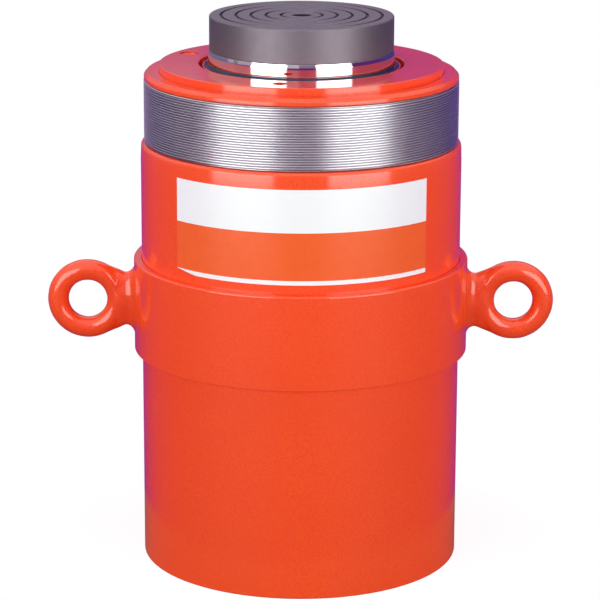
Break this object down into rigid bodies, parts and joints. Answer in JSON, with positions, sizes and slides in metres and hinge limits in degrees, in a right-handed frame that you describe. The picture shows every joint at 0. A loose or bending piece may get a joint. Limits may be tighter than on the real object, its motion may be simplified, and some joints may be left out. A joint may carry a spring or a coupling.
{
  "type": "double-acting hydraulic cylinder",
  "caption": "High-tonnage double-acting hydraulic jacking cylinder with grooved saddle, threaded collar, lifting band with eyes, and half couplers at the back.",
  "frame": {"origin": "centre of the flat base face, on the cylinder's axis", "axes": "+Z along the cylinder's axis from the base to the saddle, +Y to the back where the couplers are, +X through the right lifting eye"},
  "size_m": [0.6594, 0.4695, 0.7128],
  "materials": {
    "orange_paint": "glossy enamel",
    "machined_steel": "machined",
    "chrome": "hard chrome plate, ground",
    "saddle_steel": "phosphate, matte",
    "seal_rubber": "matte",
    "wiper_polyurethane": "satin",
    "bearing_bronze": "machined",
    "backup_plastic": "satin",
    "coupler_steel": "zinc plate",
    "spring_steel": "drawn wire",
    "label_film": "bare gloss film with a white strip and an orange panel"
  },
  "bodies": {
    "cylinder": {"barrel": "orange_paint", "lifting_band": "orange_paint", "left_lifting_eye": "orange_paint", "right_lifting_eye": "orange_paint", "gland": "orange_paint", "gland_nut": "orange_paint", "gland_lock_screw": "orange_paint", "gland_o_ring": "seal_rubber", "gland_backup_ring": "backup_plastic", "lower_rod_bearing": "bearing_bronze", "upper_rod_bearing": "bearing_bronze", "rod_seal": "seal_rubber", "rod_wiper": "wiper_polyurethane", "advance_coupler_body": "coupler_steel", "advance_coupler_seal": "seal_rubber", "advance_coupler_spring": "spring_steel", "advance_coupler_spring_guide": "coupler_steel", "retract_coupler_body": "coupler_steel", "retract_coupler_seal": "seal_rubber", "retract_coupler_spring": "spring_steel", "retract_coupler_spring_guide": "coupler_steel", "relief_valve_body": "coupler_steel", "relief_valve_spring": "spring_steel", "relief_valve_adjuster": "machined_steel"},
    "rod": {"piston_rod": "chrome", "piston": "machined_steel", "piston_nut": "machined_steel", "piston_nut_screw": "machined_steel", "piston_o_ring": "seal_rubber", "piston_wear_ring": "bearing_bronze", "advance_piston_seal": "seal_rubber", "retract_piston_seal": "seal_rubber"},
    "saddle": {"saddle": "saddle_steel", "saddle_retaining_ring": "seal_rubber"},
    "advance_poppet": {"advance_coupler_poppet": "machined_steel"},
    "retract_poppet": {"retract_coupler_poppet": "machined_steel"},
    "relief_ball": {"relief_valve_ball": "machined_steel"}
  },
  "joints": [
    {"name": "rod_slide", "type": "slide", "parent": "cylinder", "child": "rod", "axis": [0, 0, 1], "range_m": [0, 0.254]},
    {"name": "saddle_turn", "type": "hinge", "parent": "rod", "child": "saddle", "pos_m": [0, 0, 0.6692], "axis": [0, 0, 1], "continuous": true},
    {"name": "advance_poppet_slide", "type": "slide", "parent": "cylinder", "child": "advance_poppet", "axis": [0, -1, 0], "range_m": [0, 0.004], "stiffness_N_per_m": 1500, "springref_m": -0.003, "deforming": ["advance_coupler_spring"]},
    {"name": "retract_poppet_slide", "type": "slide", "parent": "cylinder", "child": "retract_poppet", "axis": [0, -1, 0], "range_m": [0, 0.004], "stiffness_N_per_m": 1500, "springref_m": -0.003, "deforming": ["retract_coupler_spring"]},
    {"name": "relief_ball_lift", "type": "slide", "parent": "cylinder", "child": "relief_ball", "axis": [-0.4226, 0.9063, 0], "range_m": [0, 0.0012], "stiffness_N_per_m": 20000, "springref_m": -0.002, "deforming": ["relief_valve_spring"]}
  ]
}
